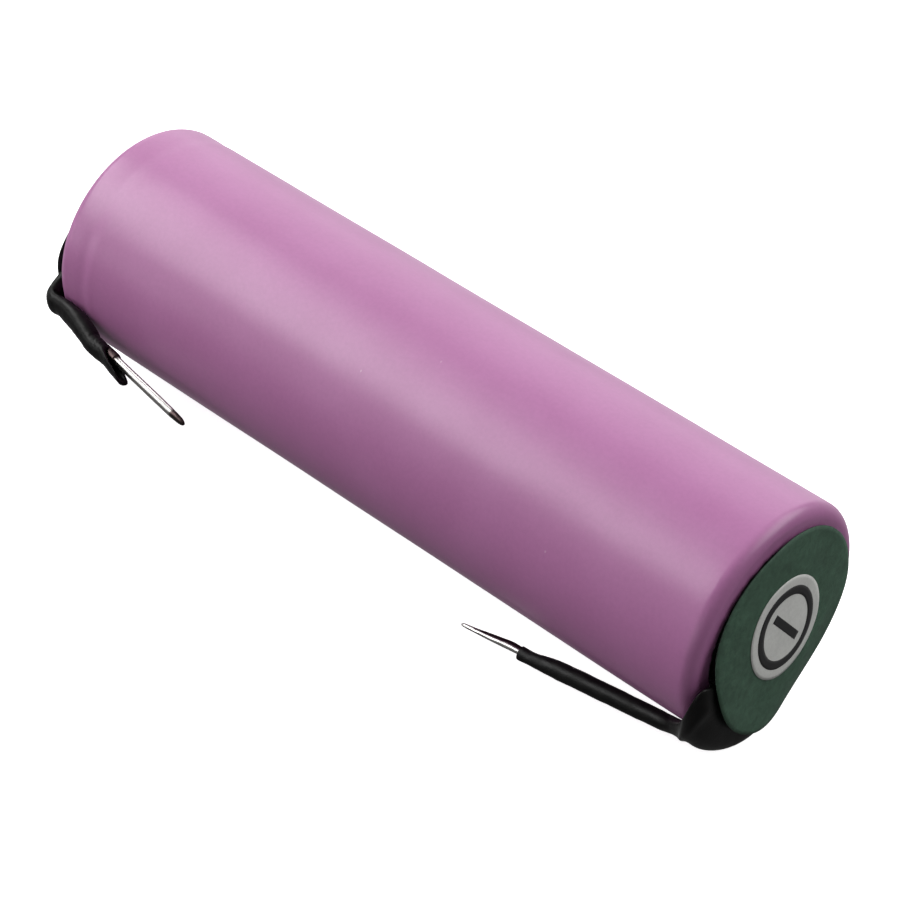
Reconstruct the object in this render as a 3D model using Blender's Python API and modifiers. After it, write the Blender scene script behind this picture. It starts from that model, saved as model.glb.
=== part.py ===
"""A tagged cylindrical lithium-ion cell of the 18650 size, lying on its side.

The cell's axis runs along X and its negative end faces +X. The origin is on the sleeve's underside,
at the middle of its length, and -Y is the side that the two solder leads run along. Sizes are in metres.

"Height" below is the distance along the cell's axis from the plane of the negative rim, so everything
inside the cell has a negative height. "Depth" is the distance inwards from the plane of the positive rim.
"""

import math
from typing import NamedTuple

import bmesh
import bpy
from mathutils import Matrix, Vector

MM = 0.001

# Overall size
CELL_LENGTH = 65.2 * MM
SLEEVE_RADIUS = 9.2 * MM
FACETS = 30
GAP = 0.05 * MM

# Shrink sleeve and the end folds
SLEEVE_WALL = 0.15 * MM
SLEEVE_CORNER = 1.0 * MM
SLEEVE_LIP_RADIUS = 6.9 * MM
CORNER_STEPS = 4

# Steel can
CAN_RADIUS = SLEEVE_RADIUS - SLEEVE_WALL - GAP
CAN_WALL = 0.25 * MM
CAN_CORNER = SLEEVE_CORNER - SLEEVE_WALL - GAP
CAN_BOTTOM = -SLEEVE_WALL - GAP
CRIMP_DEPTH = 0.45 * MM
CRIMP_INNER_RADIUS = 6.9 * MM
BEAD_DEPTH = 4.0 * MM
BEAD_HALF_WIDTH = 0.7 * MM
BEAD_CUT = 1.0 * MM
BEAD_SHOULDER_CUT = 0.6 * BEAD_CUT
BEAD_SHOULDER_PLACE = 0.7
CAN_BORE = CAN_RADIUS - CAN_WALL

# Cap assembly, stacked inwards from the crimp
STACK_RADIUS = 8.2 * MM
CAP_BOSS_RADIUS = 4.2 * MM
CAP_BOSS_DEPTH = 0.3 * MM
CAP_FLANGE_DEPTH = 1.2 * MM
CAP_THICKNESS = 0.3 * MM
CAP_BOSS_SLOPE = 0.6 * MM
CAP_BEND_SHIFT = 0.2 * MM
CAP_VENTS = 4
CAP_VENT_SIZE = (2.4 * MM, 2.2 * MM, 0.55 * MM)
PTC_DEPTH = 1.55 * MM
PTC_INNER_RADIUS = 5.2 * MM
VENT_DISC_DEPTH = 1.9 * MM
VENT_DISC_THICKNESS = 0.25 * MM
VENT_DISC_DIMPLE = 0.45 * MM
DIMPLE_FOOT_RADIUS = 1.0 * MM
DIMPLE_RIM_RADIUS = 3.5 * MM
CID_RADIUS = 6.9 * MM
CID_RING_INNER_RADIUS = 5.0 * MM
CID_RING_DEPTH = 2.2 * MM
CID_DISC_DEPTH = 2.65 * MM
CID_DISC_THICKNESS = 0.35 * MM
CID_HOLES = 6
CID_HOLE_RADIUS = 0.7 * MM
CID_HOLE_CIRCLE = 4.2 * MM
CID_HOLE_SIDES = 12
CID_CUTTER_LENGTH = 2.0 * MM
GASKET_RADIUS = CAN_BORE - GAP
GASKET_CHANNEL_RADIUS = STACK_RADIUS + GAP
GASKET_TOP = 0.75 * MM
GASKET_BASE = 3.05 * MM
GASKET_LIP_RADIUS = 6.6 * MM
GASKET_BASE_LIP_RADIUS = 7.2 * MM
GASKET_LIP = 0.35 * MM
GASKET_CHAMFER = 0.55 * MM
GASKET_CHAMFER_BULGE = 0.35 * GASKET_CHAMFER
WASHER_OUTER_RADIUS = 8.3 * MM
WASHER_INNER_RADIUS = 5.0 * MM
WASHER_DEPTH = 0.2 * MM
WASHER_THICKNESS = 0.2 * MM

# Winding and what lies above and below it
WINDING_BASE = -1.1 * MM
WINDING_TOP_DEPTH = 5.5 * MM
WINDING_CORE_RADIUS = 1.75 * MM
WINDING_TURNS = 4.5
WINDING_STEPS_PER_TURN = 24
WINDING_CLEARANCE = 0.04 * MM
ELECTRODE_THICKNESS = 0.4 * MM
SEPARATOR_THICKNESS = 0.12 * MM
ANODE_SET_BACK = 0.4 * MM
CATHODE_SET_BACK = 0.9 * MM
TAPE_RADIUS = 8.6 * MM
TAPE_WALL = 0.1 * MM
PIN_TUBE_RADIUS = 1.45 * MM
PIN_TUBE_WALL = 0.25 * MM
BOTTOM_INSULATOR_RADIUS = 7.6 * MM
BOTTOM_INSULATOR_HOLE = 1.6 * MM
BOTTOM_INSULATOR_TOP = -0.75 * MM
TOP_INSULATOR_RADIUS = 8.4 * MM
TOP_INSULATOR_HOLE = 3.4 * MM
TOP_INSULATOR_DEPTH = 5.0 * MM
INSULATOR_THICKNESS = 0.25 * MM
TAB_WIDTH = 3.5 * MM
TAB_THICKNESS = 0.12 * MM
TAB_BEND = 0.15 * MM
NEGATIVE_TAB_INNER_END = -1.5 * MM
NEGATIVE_TAB_RISE = 7.95 * MM
POSITIVE_TAB_RISE = 2.6 * MM
POSITIVE_TAB_FOLD = (  # distance from the axis, distance below the weld
    (2.0 * MM, 0),
    (-2.0 * MM, 0.1 * MM),
    (-2.4 * MM, 0.35 * MM),
    (-2.0 * MM, 0.6 * MM),
    (2.2 * MM, 0.8 * MM),
    (POSITIVE_TAB_RISE, 1.2 * MM),
)

# Insulating paper discs and their polarity stickers
PAPER_RADIUS = 8.0 * MM
PAPER_THICKNESS = 0.2 * MM
PAPER_REST_OUT = 0.14 * MM
PAPER_RIDGE_CENTRE = 0.85 * MM
PAPER_RIDGE_SLOPE = 0.1
PAPER_RIDGE_SQUARENESS = 4.5
PAPER_RINGS = 4
STICKER_RADIUS = 4.2 * MM
STICKER_THICKNESS = 0.1 * MM
STICKER_RINGS = 2

# Solder tags: a nickel strip in heat-shrink, folded round the rim at a hinge line
HINGE_RADIAL = 9.62 * MM
HINGE_OUT = 0.3 * MM
HINGE_CLEARANCE = 0.35 * MM
PAD_WIDTH = 6.0 * MM
PAD_INNER_END = -3.2 * MM
PAD_OUTER_END = 3.6 * MM
STRIP_WIDTH = 3.0 * MM
STRIP_THICKNESS = 0.15 * MM
PIN_WIDTH = 0.8 * MM
PIN_THICKNESS = 0.36 * MM
SHRINK_WALL = 0.28 * MM
SHRINK_SIDES = 16
# Stations of the flat shrink: distance from the axis, distance out, share of the web's width, thickness
ROOT_SHRINK_STATIONS = (
    (4.8 * MM, 0.56 * MM, 0.6, 1.0 * MM),
    (6.4 * MM, 0.64 * MM, 0.8, 1.12 * MM),
    (7.9 * MM, 0.70 * MM, 1.0, 1.2 * MM),
    (8.95 * MM, 0.62 * MM, 0.85, 1.16 * MM),
)
LEG_SHRINK_START = 2.0 * MM
LEG_SHRINK_DIAMETER = 1.36 * MM
LEG_FLAT_WIDTH = 2.1 * MM
LEG_FLAT_THICKNESS = 1.1 * MM
LEG_FLAT_LENGTH = 2.2 * MM
LEG_FLARE_LENGTH = 3.0 * MM
BARE_PIN_CLEARANCE = 0.1 * MM
TIP_TAPER_LENGTH = 1.4 * MM
TIP_WIDTH = 0.4 * MM
TIP_THICKNESS = 0.2 * MM


class End(NamedTuple):
    """What differs between the cell's two ends."""

    name: str
    outward: int  # direction along X that points out of this end
    lead_angle: float  # from +Z towards -Y, round the cell's axis
    pad_out: float  # where the weld pad lies, along the outward direction
    leg_tilt: float  # how far the leg stands off the cell's side
    leg_length: float
    leg_shrink_end: float
    flare_width: float  # width of the heat-shrink at its cut end
    web_width: float  # width of the flat heat-shrink where it fans out over the end
    ridge_half_width: float  # half the width of the ridge that the lead raises in the paper disc


NEGATIVE = End(
    name="negative",
    outward=1,
    lead_angle=math.radians(133),
    pad_out=CAN_BOTTOM + GAP,
    leg_tilt=math.radians(6.8),
    leg_length=21.6 * MM,
    leg_shrink_end=16.2 * MM,
    flare_width=1.36 * MM,
    web_width=10.4 * MM,
    ridge_half_width=7.0 * MM,
)
POSITIVE = End(
    name="positive",
    outward=-1,
    lead_angle=math.radians(102),
    pad_out=-CAP_BOSS_DEPTH + GAP,
    leg_tilt=math.radians(8.7),
    leg_length=18.0 * MM,
    leg_shrink_end=9.8 * MM,
    flare_width=2.3 * MM,
    web_width=6.6 * MM,
    ridge_half_width=4.3 * MM,
)


# ---------------------------------------------------------------- scene and helpers


def clear_scene():
    for obj in list(bpy.data.objects):
        bpy.data.objects.remove(obj, do_unlink=True)


def new_collection(name):
    collection = bpy.data.collections.new(name)
    bpy.context.scene.collection.children.link(collection)
    return collection


def new_empty(name, matrix, parent=None):
    empty = bpy.data.objects.new(name, None)
    empty.empty_display_size = 3 * MM
    PARTS.objects.link(empty)
    empty.parent = parent
    empty.matrix_local = matrix
    return empty


def principled(name, colour, roughness, metallic):
    material = bpy.data.materials.new(name)
    material.use_nodes = True
    shader = material.node_tree.nodes["Principled BSDF"]
    shader.inputs["Base Color"].default_value = (*colour, 1.0)
    shader.inputs["Roughness"].default_value = roughness
    shader.inputs["Metallic"].default_value = metallic
    return material


def object_from(name, mesh_maker, parent, look):
    """A named object whose mesh is what mesh_maker draws into a bmesh."""
    shape = bmesh.new()
    mesh_maker(shape)
    mesh = bpy.data.meshes.new(name)
    shape.to_mesh(mesh)
    shape.free()
    mesh.materials.append(principled(name, *look))
    obj = bpy.data.objects.new(name, mesh)
    PARTS.objects.link(obj)
    obj.parent = parent
    return obj


def at_height_from_depth(depth):
    return depth - CELL_LENGTH


def turned(name, profile, parent, look, closed=True):
    """A body of revolution about the parent's Z. Its (radius, height) points run down the outside first."""
    half_facet = math.pi / FACETS

    def draw(shape):
        points = [
            shape.verts.new((radius * math.cos(half_facet), radius * math.sin(half_facet), height))
            for radius, height in profile
        ]
        for start, end in zip(points, points[1:]):
            shape.edges.new((start, end))
        if closed:
            shape.edges.new((points[-1], points[0]))

    obj = object_from(name, draw, parent, look)
    screw = obj.modifiers.new("turn", "SCREW")
    screw.steps = FACETS
    screw.render_steps = FACETS
    screw.use_merge_vertices = True
    screw.merge_threshold = 0.000001
    screw.use_smooth_shade = True
    return obj


def ring(inner_radius, outer_radius, low, high):
    """The closed profile of a flat ring or a tube."""
    return [(inner_radius, high), (outer_radius, high), (outer_radius, low), (inner_radius, low)]


def disc(radius, low, high):
    """The open profile of a disc, which the axis closes."""
    return [(0, high), (radius, high), (radius, low), (0, low)]


def arc(centre_radius, centre_height, radius, start, end, steps=CORNER_STEPS):
    """Points on a quarter circle or another arc of a profile, with its angles in degrees."""
    angles = [math.radians(start + (end - start) * i / steps) for i in range(steps + 1)]
    return [(centre_radius + radius * math.cos(a), centre_height + radius * math.sin(a)) for a in angles]


def ribbon(name, points, sweep, thickness, parent, look):
    """A bent strip: a line of points swept sideways into a surface, and thickened about it."""

    def draw(shape):
        near = [shape.verts.new(Vector(p) - sweep / 2) for p in points]
        far = [shape.verts.new(Vector(p) + sweep / 2) for p in points]
        for i in range(len(points) - 1):
            shape.faces.new((near[i], near[i + 1], far[i + 1], far[i]))

    obj = object_from(name, draw, parent, look)
    solidify = obj.modifiers.new("thickness", "SOLIDIFY")
    solidify.thickness = thickness
    solidify.offset = 0
    solidify.use_even_offset = True
    return obj


def cut(obj, cutters):
    """Cuts each helper out of obj, and keeps the helpers as hidden wire shapes."""
    for cutter in cutters:
        PARTS.objects.unlink(cutter)
        CUTTERS.objects.link(cutter)
        cutter.hide_render = True
        cutter.display_type = "WIRE"
        boolean = obj.modifiers.new("cut", "BOOLEAN")
        boolean.operation = "DIFFERENCE"
        boolean.object = cutter


def box_cutter(name, size, centre, turn, parent):
    def draw(shape):
        bmesh.ops.create_cube(shape, size=1, matrix=Matrix.Diagonal((*size, 1)))

    obj = object_from(name, draw, parent, CUTTER_LOOK)
    obj.matrix_local = Matrix.Rotation(turn, 4, "Z") @ Matrix.Translation(centre)
    return obj


def hole_cutter(name, radius, centre, parent):
    def draw(shape):
        bmesh.ops.create_cone(
            shape,
            segments=CID_HOLE_SIDES,
            radius1=radius,
            radius2=radius,
            depth=CID_CUTTER_LENGTH,
            cap_ends=True,
        )

    obj = object_from(name, draw, parent, CUTTER_LOOK)
    obj.location = centre
    return obj


def rectangle(width, thickness):
    """A strip's cross-section as (across, through) points."""
    across, through = width / 2, thickness / 2
    return [(across, through), (-across, through), (-across, -through), (across, -through)]


def rounded(width, thickness):
    """A flattened tube's cross-section: a squarish oval, which is a circle when width equals thickness."""
    squareness = 2 / (2 + 2 * (1 - thickness / width))
    outline = []
    for i in range(SHRINK_SIDES):
        angle = 2 * math.pi * (i + 0.5) / SHRINK_SIDES
        across = math.copysign(abs(math.cos(angle)) ** squareness, math.cos(angle))
        through = math.copysign(abs(math.sin(angle)) ** squareness, math.sin(angle))
        outline.append((across * width / 2, through * thickness / 2))
    return outline


def loft(name, rings, parent, look, hollow=False):
    """A skin over equal rings of points. A hollow one runs out along its outside and back along its bore."""

    def draw(shape):
        loops = [[shape.verts.new(p) for p in points] for points in rings]
        pairs = list(zip(loops, loops[1:]))
        if hollow:
            pairs.append((loops[-1], loops[0]))
        else:
            shape.faces.new(loops[0])
            shape.faces.new(list(reversed(loops[-1])))
        for first, second in pairs:
            for i in range(len(first)):
                j = (i + 1) % len(first)
                shape.faces.new((first[i], first[j], second[j], second[i]))
        bmesh.ops.recalc_face_normals(shape, faces=shape.faces)

    return object_from(name, draw, parent, look)


def root_ring(radial, out, outline):
    """A cross-section of the part of a lead that fans out over the cell's end, bent to the rim's curve."""
    return [
        (radial * math.cos(across / radial), radial * math.sin(across / radial), out + through)
        for across, through in outline
    ]


def leg_ring(distance, outline):
    """A cross-section of a leg at a distance from its hinge, in the hinge's frame."""
    return [(through, across, -distance) for across, through in outline]


# ---------------------------------------------------------------- looks

SLEEVE_LOOK = ((0.55, 0.24, 0.46), 0.42, 0)
PAPER_LOOK = ((0.045, 0.085, 0.055), 0.85, 0)
STICKER_LOOK = ((0.42, 0.43, 0.41), 0.6, 0)
SHRINK_LOOK = ((0.013, 0.012, 0.012), 0.45, 0)
NICKEL_LOOK = ((0.72, 0.70, 0.66), 0.25, 1)
STEEL_LOOK = ((0.62, 0.62, 0.62), 0.3, 1)
ALUMINIUM_LOOK = ((0.80, 0.81, 0.83), 0.35, 1)
NYLON_LOOK = ((0.80, 0.80, 0.76), 0.5, 0)
GASKET_LOOK = ((0.10, 0.16, 0.35), 0.5, 0)
FIBRE_LOOK = ((0.75, 0.72, 0.64), 0.8, 0)
CATHODE_LOOK = ((0.03, 0.03, 0.035), 0.7, 0.2)
ANODE_LOOK = ((0.16, 0.08, 0.045), 0.6, 0.5)
SEPARATOR_LOOK = ((0.85, 0.85, 0.86), 0.5, 0)
TAPE_LOOK = ((0.12, 0.35, 0.20), 0.3, 0)
PTC_LOOK = ((0.06, 0.05, 0.05), 0.7, 0)
CUTTER_LOOK = ((1, 1, 1), 0.5, 0)


# ---------------------------------------------------------------- sleeve and can


def make_sleeve(axis):
    side = SLEEVE_RADIUS - SLEEVE_CORNER
    profile = [(SLEEVE_LIP_RADIUS, 0)]
    profile += arc(side, -SLEEVE_CORNER, SLEEVE_CORNER, 90, 0)
    profile += arc(side, SLEEVE_CORNER - CELL_LENGTH, SLEEVE_CORNER, 0, -90)
    profile += [(SLEEVE_LIP_RADIUS, -CELL_LENGTH)]
    sleeve = turned("shrink_sleeve", profile, axis, SLEEVE_LOOK, closed=False)
    solidify = sleeve.modifiers.new("wall", "SOLIDIFY")
    solidify.thickness = SLEEVE_WALL
    solidify.offset = -1
    solidify.use_even_offset = True


def can_outline(inset, bottom, crimp_height):
    """One face of the can's sheet, from its bottom's centre to the edge of its crimp."""
    wall = CAN_RADIUS - inset
    corner = CAN_CORNER - inset
    bead = at_height_from_depth(BEAD_DEPTH)
    half_width = BEAD_HALF_WIDTH + inset
    line = [(0, bottom)]
    line += arc(wall - corner, bottom - corner, corner, 90, 0)
    line += [
        (wall, bead + half_width),
        (wall - BEAD_SHOULDER_CUT, bead + BEAD_SHOULDER_PLACE * half_width),
        (wall - BEAD_CUT, bead),
        (wall - BEAD_SHOULDER_CUT, bead - BEAD_SHOULDER_PLACE * half_width),
        (wall, bead - half_width),
    ]
    line += arc(wall - corner, crimp_height + corner, corner, 0, -90)
    line += [(CRIMP_INNER_RADIUS, crimp_height)]
    return line


def make_can(axis):
    crimp = at_height_from_depth(CRIMP_DEPTH)
    outside = can_outline(0, CAN_BOTTOM, crimp)
    inside = can_outline(CAN_WALL, CAN_BOTTOM - CAN_WALL, crimp + CAN_WALL)
    turned("steel_can", outside + inside[::-1], axis, STEEL_LOOK, closed=False)


# ---------------------------------------------------------------- cap assembly


def make_ring_washer(axis):
    low = at_height_from_depth(WASHER_DEPTH)
    turned(
        "ring_washer",
        ring(WASHER_INNER_RADIUS, WASHER_OUTER_RADIUS, low, low + WASHER_THICKNESS),
        axis,
        FIBRE_LOOK,
    )


def make_gasket(axis):
    top = at_height_from_depth(GASKET_TOP)
    base = at_height_from_depth(GASKET_BASE)
    profile = [
        (GASKET_BASE_LIP_RADIUS, base),
        (GASKET_RADIUS, base),
        (GASKET_RADIUS, top + GASKET_CHAMFER),
        (GASKET_RADIUS - GASKET_CHAMFER_BULGE, top + GASKET_CHAMFER_BULGE),
        (GASKET_RADIUS - GASKET_CHAMFER, top),
        (GASKET_LIP_RADIUS, top),
        (GASKET_LIP_RADIUS, top + GASKET_LIP),
        (GASKET_CHANNEL_RADIUS, top + GASKET_LIP),
        (GASKET_CHANNEL_RADIUS, base - GASKET_LIP),
        (GASKET_BASE_LIP_RADIUS, base - GASKET_LIP),
    ]
    turned("crimp_gasket", profile, axis, GASKET_LOOK)


def make_top_cap(axis):
    boss = at_height_from_depth(CAP_BOSS_DEPTH)
    flange = at_height_from_depth(CAP_FLANGE_DEPTH)
    foot = CAP_BOSS_RADIUS + CAP_BOSS_SLOPE
    profile = [
        (0, boss + CAP_THICKNESS),
        (CAP_BOSS_RADIUS - CAP_BEND_SHIFT, boss + CAP_THICKNESS),
        (foot - CAP_BEND_SHIFT, flange + CAP_THICKNESS),
        (STACK_RADIUS, flange + CAP_THICKNESS),
        (STACK_RADIUS, flange),
        (foot, flange),
        (CAP_BOSS_RADIUS, boss),
        (0, boss),
    ]
    cap = turned("top_cap", profile, axis, STEEL_LOOK, closed=False)
    middle = (boss + flange) / 2 + CAP_THICKNESS / 2
    cutters = []
    for i in range(CAP_VENTS):
        turn = 2 * math.pi * (i + 0.5) / CAP_VENTS
        centre = (CAP_BOSS_RADIUS + CAP_BOSS_SLOPE / 2, 0, middle)
        cutters.append(box_cutter(f"cap_vent_cutter_{i + 1}", CAP_VENT_SIZE, centre, turn, axis))
    cut(cap, cutters)


def make_ptc_ring(axis):
    low = at_height_from_depth(PTC_DEPTH)
    turned("ptc_ring", ring(PTC_INNER_RADIUS, STACK_RADIUS, low, low + CAP_THICKNESS), axis, PTC_LOOK)


def make_vent_disc(axis):
    low = at_height_from_depth(VENT_DISC_DEPTH)
    high = low + VENT_DISC_THICKNESS
    profile = [
        (0, high + VENT_DISC_DIMPLE),
        (DIMPLE_FOOT_RADIUS, high + VENT_DISC_DIMPLE),
        (DIMPLE_RIM_RADIUS, high),
        (STACK_RADIUS, high),
        (STACK_RADIUS, low),
        (DIMPLE_RIM_RADIUS, low),
        (DIMPLE_FOOT_RADIUS, low + VENT_DISC_DIMPLE),
        (0, low + VENT_DISC_DIMPLE),
    ]
    turned("vent_disc", profile, axis, ALUMINIUM_LOOK, closed=False)


def make_interrupt_device(axis):
    low = at_height_from_depth(CID_RING_DEPTH)
    high = at_height_from_depth(CID_DISC_DEPTH) - GAP
    turned("interrupt_insulator_ring", ring(CID_RING_INNER_RADIUS, CID_RADIUS, low, high), axis, NYLON_LOOK)
    low = at_height_from_depth(CID_DISC_DEPTH)
    plate = turned(
        "interrupt_disc", disc(CID_RADIUS, low, low + CID_DISC_THICKNESS), axis, ALUMINIUM_LOOK, closed=False
    )
    cutters = []
    for i in range(CID_HOLES):
        angle = 2 * math.pi * i / CID_HOLES
        centre = (CID_HOLE_CIRCLE * math.cos(angle), CID_HOLE_CIRCLE * math.sin(angle), low)
        cutters.append(hole_cutter(f"interrupt_hole_cutter_{i + 1}", CID_HOLE_RADIUS, centre, axis))
    cut(plate, cutters)


# ---------------------------------------------------------------- winding and tabs


def make_insulators(axis):
    high = BOTTOM_INSULATOR_TOP
    low = high - INSULATOR_THICKNESS
    turned(
        "bottom_insulator",
        ring(BOTTOM_INSULATOR_HOLE, BOTTOM_INSULATOR_RADIUS, low, high),
        axis,
        NYLON_LOOK,
    )
    low = at_height_from_depth(TOP_INSULATOR_DEPTH)
    turned(
        "top_insulator",
        ring(TOP_INSULATOR_HOLE, TOP_INSULATOR_RADIUS, low, low + INSULATOR_THICKNESS),
        axis,
        NYLON_LOOK,
    )


def spiral(middle_radius, pitch, set_back):
    """Points along a wound sheet's middle line, at half its height."""
    height = (WINDING_BASE + at_height_from_depth(WINDING_TOP_DEPTH)) / 2
    points = []
    for i in range(int(WINDING_TURNS * WINDING_STEPS_PER_TURN) + 1):
        turn = i / WINDING_STEPS_PER_TURN
        radius = middle_radius + pitch * turn
        angle = 2 * math.pi * turn
        points.append((radius * math.cos(angle), radius * math.sin(angle), height))
    width = WINDING_BASE - at_height_from_depth(WINDING_TOP_DEPTH) - 2 * set_back
    return points, Vector((0, 0, width))


def make_winding(axis):
    sheets = (
        ("separator_inner", SEPARATOR_THICKNESS, 0, SEPARATOR_LOOK),
        ("cathode_sheet", ELECTRODE_THICKNESS, CATHODE_SET_BACK, CATHODE_LOOK),
        ("separator_outer", SEPARATOR_THICKNESS, 0, SEPARATOR_LOOK),
        ("anode_sheet", ELECTRODE_THICKNESS, ANODE_SET_BACK, ANODE_LOOK),
    )
    pitch = sum(thickness + WINDING_CLEARANCE for _, thickness, _, _ in sheets)
    inner_face = WINDING_CORE_RADIUS
    for name, thickness, set_back, look in sheets:
        points, sweep = spiral(inner_face + thickness / 2, pitch, set_back)
        ribbon(name, points, sweep, thickness, axis, look)
        inner_face += thickness + WINDING_CLEARANCE


def make_tape_and_centre_pin(axis):
    top = at_height_from_depth(WINDING_TOP_DEPTH)
    turned("winding_tape", ring(TAPE_RADIUS - TAPE_WALL, TAPE_RADIUS, top, WINDING_BASE), axis, TAPE_LOOK)
    turned(
        "centre_pin",
        ring(PIN_TUBE_RADIUS - PIN_TUBE_WALL, PIN_TUBE_RADIUS, top, WINDING_BASE),
        axis,
        STEEL_LOOK,
    )


def make_tabs(axis):
    """The strips that join the winding to the can's bottom and to the cap assembly."""
    floor = CAN_BOTTOM - CAN_WALL - GAP - TAB_THICKNESS / 2
    negative_path = [
        (NEGATIVE_TAB_INNER_END, 0, floor),
        (NEGATIVE_TAB_RISE - TAB_BEND, 0, floor),
        (NEGATIVE_TAB_RISE, 0, floor - TAB_BEND),
        (NEGATIVE_TAB_RISE, 0, WINDING_BASE + GAP),
    ]
    ribbon("negative_tab", negative_path, Vector((0, TAB_WIDTH, 0)), TAB_THICKNESS, axis, NICKEL_LOOK)
    weld = CID_DISC_DEPTH + CID_DISC_THICKNESS + GAP + TAB_THICKNESS / 2
    positive_path = [(radius, 0, at_height_from_depth(weld + drop)) for radius, drop in POSITIVE_TAB_FOLD]
    positive_path.append((POSITIVE_TAB_RISE, 0, at_height_from_depth(WINDING_TOP_DEPTH - GAP)))
    ribbon("positive_tab", positive_path, Vector((0, TAB_WIDTH, 0)), TAB_THICKNESS, axis, ALUMINIUM_LOOK)


# ---------------------------------------------------------------- ends: paper discs and leads


def end_frame(end):
    """An empty at the centre of a rim: its Z points out of the end and its X towards the lead."""
    out = Vector((end.outward, 0, 0))
    radial = Vector((0, -math.sin(end.lead_angle), math.cos(end.lead_angle)))
    turn = Matrix((radial, out.cross(radial), out)).transposed().to_4x4()
    place = Matrix.Translation((end.outward * CELL_LENGTH / 2, 0, AXIS_HEIGHT))
    return new_empty(f"{end.name}_end", place @ turn)


def paper_out(end, along, across):
    """How far out of the end the paper lies: flat on the rim, with a ridge that rises over the lead."""
    ridge = max(0.0, PAPER_RIDGE_CENTRE + PAPER_RIDGE_SLOPE * along)
    spread = math.exp(-((abs(across) / end.ridge_half_width) ** PAPER_RIDGE_SQUARENESS))
    return PAPER_REST_OUT + ridge * spread


def laid_disc(name, end, radius, rings, lift, thickness, frame, look):
    """A round sheet that follows the paper's ridge: rings of points round a centre, thickened about them."""

    def draw(shape):
        centre = shape.verts.new((0, 0, paper_out(end, 0, 0) + lift))
        loops = []
        for k in range(1, rings + 1):
            reach = radius * k / rings
            loop = []
            for i in range(FACETS):
                angle = 2 * math.pi * i / FACETS
                along, across = reach * math.cos(angle), reach * math.sin(angle)
                loop.append(shape.verts.new((along, across, paper_out(end, along, across) + lift)))
            loops.append(loop)
        for i in range(FACETS):
            j = (i + 1) % FACETS
            shape.faces.new((centre, loops[0][i], loops[0][j]))
            for inner, outer in zip(loops, loops[1:]):
                shape.faces.new((inner[i], outer[i], outer[j], inner[j]))

    obj = object_from(name, draw, frame, look)
    solidify = obj.modifiers.new("thickness", "SOLIDIFY")
    solidify.thickness = thickness
    solidify.offset = 0


def make_paper_disc(end, frame):
    """The insulating disc, which the lead under it holds up on one side, and its round sticker."""
    name = f"{end.name}_paper_disc"
    laid_disc(name, end, PAPER_RADIUS, PAPER_RINGS, 0, PAPER_THICKNESS, frame, PAPER_LOOK)
    name = f"{end.name}_sticker"
    lift = (PAPER_THICKNESS + STICKER_THICKNESS) / 2 + GAP
    laid_disc(name, end, STICKER_RADIUS, STICKER_RINGS, lift, STICKER_THICKNESS, frame, STICKER_LOOK)


def make_lead_root(end, frame):
    """The fixed half of a lead: the weld pad with its strip, and the flat heat-shrink round the strip."""
    pad = rectangle(PAD_WIDTH, STRIP_THICKNESS)
    strip = rectangle(STRIP_WIDTH, STRIP_THICKNESS)
    neck = rectangle(PIN_WIDTH, STRIP_THICKNESS)
    pad_middle = end.pad_out + STRIP_THICKNESS / 2
    strip_rings = [
        [(radial, across, pad_middle + through) for across, through in pad]
        for radial in (PAD_INNER_END, PAD_OUTER_END)
    ]
    strip_rings += [root_ring(radial, out, strip) for radial, out, _, _ in ROOT_SHRINK_STATIONS[:-1]]
    last_radial, last_out, _, _ = ROOT_SHRINK_STATIONS[-1]
    strip_rings.append(root_ring(last_radial, last_out, neck))
    strip_rings.append(root_ring(HINGE_RADIAL - HINGE_CLEARANCE, last_out, neck))
    loft(f"{end.name}_tag_pad", strip_rings, frame, NICKEL_LOOK)
    outside, bore = [], []
    for radial, out, share, thick in ROOT_SHRINK_STATIONS:
        width = share * end.web_width
        outside.append(root_ring(radial, out, rounded(width, thick)))
        bore.append(root_ring(radial, out, rounded(width - 2 * SHRINK_WALL, thick - 2 * SHRINK_WALL)))
    loft(f"{end.name}_root_shrink", outside + bore[::-1], frame, SHRINK_LOOK, hollow=True)


def make_lead_leg(end, frame):
    """The swinging half of a lead, modelled from its hinge: the strip that ends as the pin, and its tube."""
    place = Matrix.Translation((HINGE_RADIAL, 0, HINGE_OUT)) @ Matrix.Rotation(-end.leg_tilt, 4, "Y")
    hinge = new_empty(f"{end.name}_lead_hinge", place, frame)
    pin = rectangle(PIN_WIDTH, PIN_THICKNESS)
    tip = rectangle(TIP_WIDTH, TIP_THICKNESS)
    pin_rings = [
        leg_ring(HINGE_CLEARANCE, rectangle(PIN_WIDTH, STRIP_THICKNESS)),
        leg_ring(end.leg_shrink_end + BARE_PIN_CLEARANCE, pin),
        leg_ring(end.leg_length - TIP_TAPER_LENGTH, pin),
        leg_ring(end.leg_length, tip),
    ]
    loft(f"{end.name}_tag_pin", pin_rings, hinge, NICKEL_LOOK)
    stations = (
        (LEG_SHRINK_START, LEG_FLAT_WIDTH, LEG_FLAT_THICKNESS),
        (LEG_SHRINK_START + LEG_FLAT_LENGTH, LEG_SHRINK_DIAMETER, LEG_SHRINK_DIAMETER),
        (end.leg_shrink_end - LEG_FLARE_LENGTH, LEG_SHRINK_DIAMETER, LEG_SHRINK_DIAMETER),
        (end.leg_shrink_end, end.flare_width, LEG_SHRINK_DIAMETER),
    )
    outside = [leg_ring(along, rounded(width, thick)) for along, width, thick in stations]
    bore = [
        leg_ring(along, rounded(width - SHRINK_WALL, thick - SHRINK_WALL))
        for along, width, thick in stations
    ]
    loft(f"{end.name}_leg_shrink", outside + bore[::-1], hinge, SHRINK_LOOK, hollow=True)


# ---------------------------------------------------------------- the cell

AXIS_HEIGHT = SLEEVE_RADIUS * math.cos(math.pi / FACETS)

clear_scene()
PARTS = new_collection("tagged_cell")
CUTTERS = new_collection("cutters")
CUTTERS.hide_render = True

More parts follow.
